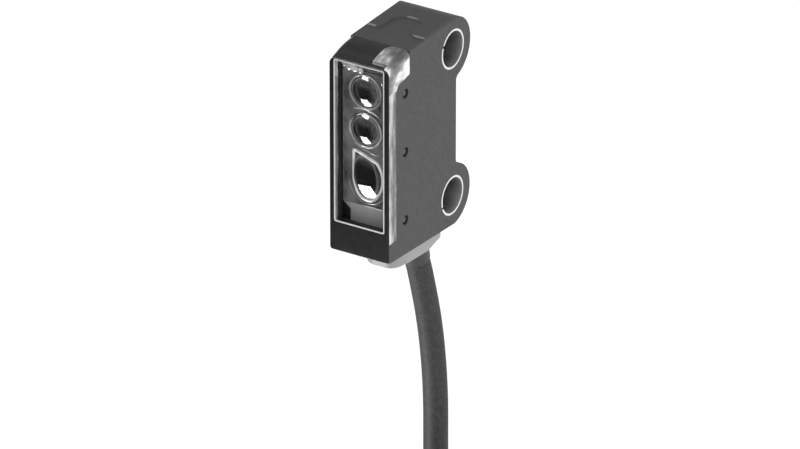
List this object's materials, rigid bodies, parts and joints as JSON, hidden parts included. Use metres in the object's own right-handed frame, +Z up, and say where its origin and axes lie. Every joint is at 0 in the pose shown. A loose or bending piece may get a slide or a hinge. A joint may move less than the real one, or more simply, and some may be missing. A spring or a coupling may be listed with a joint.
{
  "type": "photoelectric sensor",
  "caption": "Slim block-shaped photoelectric sensor with lenses behind a clear front window, steel-bushed mounting ears and a short lead that ends in an M8 plug with a turning screw ring.",
  "frame": {"origin": "midway between the two mounting holes, in the middle of the housing's width", "axes": "+Z up along the housing, the optical face looks along -Y, X across the width along the mounting holes"},
  "size_m": [0.0126, 0.0394, 0.1301],
  "materials": {
    "housing_plastic": "fine moulded texture, dark grey",
    "bush_steel": "rolled steel",
    "gloss_black": "polished black",
    "light_line": "light grey edge",
    "clear_plastic": "clear polymer window",
    "seal_rubber": "black elastomer",
    "pin_plastic": "black moulded pins",
    "lens_plate_plastic": "smoky clear polymer",
    "lens_plastic": "clear polymer lens",
    "pale_panel": "grey translucent panel",
    "inner_black": "light-absorbing black",
    "aperture_metal": "blackened sheet",
    "guide_plastic": "clear light guide",
    "circuit_board": "solder resist",
    "chip_black": "moulded package",
    "emitter_resin": "clear resin over a die",
    "led_yellow": "diffusing resin",
    "led_green": "diffusing resin",
    "can_steel": "tinned sheet",
    "ceramic": "fired ceramic",
    "gold_contact": "gold plated",
    "wire_brown": "insulation",
    "wire_blue": "insulation",
    "wire_black": "insulation",
    "wire_white": "insulation",
    "cap_plastic": "light grey moulding",
    "relief_plastic": "soft grey collar",
    "cable_jacket": "matt jacket",
    "tie_plastic": "nylon tie",
    "grip_plastic": "overmoulded grip",
    "insert_plastic": "glass-filled insert",
    "ring_nickel": "nickel-plated brass"
  },
  "bodies": {
    "root": {"housing": "housing_plastic", "upper_bush": "bush_steel", "lower_bush": "bush_steel", "front_mask": "gloss_black", "frame_line": "light_line", "front_window": "clear_plastic", "front_frame": "gloss_black", "window_seal": "seal_rubber", "cover_pins": "pin_plastic", "lens_plate": "lens_plate_plastic", "receiver_lens_upper": "lens_plastic", "receiver_lens_lower": "lens_plastic", "emitter_lens": "lens_plastic", "diffuser_panel": "pale_panel", "optics_carrier": "inner_black", "aperture_plate": "aperture_metal", "light_guide": "guide_plastic", "sensor_board": "circuit_board", "receiver_diodes": "chip_black", "emitter_led": "emitter_resin", "indicator_led_yellow": "led_yellow", "indicator_led_green": "led_green", "shield_can": "can_steel", "amplifier_chip": "chip_black", "main_board": "circuit_board", "processor_chip": "chip_black", "capacitors": "ceramic", "link_pins": "gold_contact", "core_brown": "wire_brown", "core_blue": "wire_blue", "core_black": "wire_black", "core_white": "wire_white", "bottom_cap": "cap_plastic", "strain_relief": "relief_plastic", "cable_hanging": "cable_jacket", "cable_coil": "cable_jacket", "cable_tail": "cable_jacket", "coil_tie": "tie_plastic", "plug_grip": "grip_plastic", "contact_insert": "insert_plastic", "contact_pins": "gold_contact"},
    "screw_ring": {"screw_ring": "ring_nickel"}
  },
  "joints": [
    {"name": "screw_ring_turn", "type": "hinge", "parent": "root", "child": "screw_ring", "pos_m": [0.0032, 0.00305, -0.1104], "axis": [0, 0, 1], "continuous": true}
  ]
}
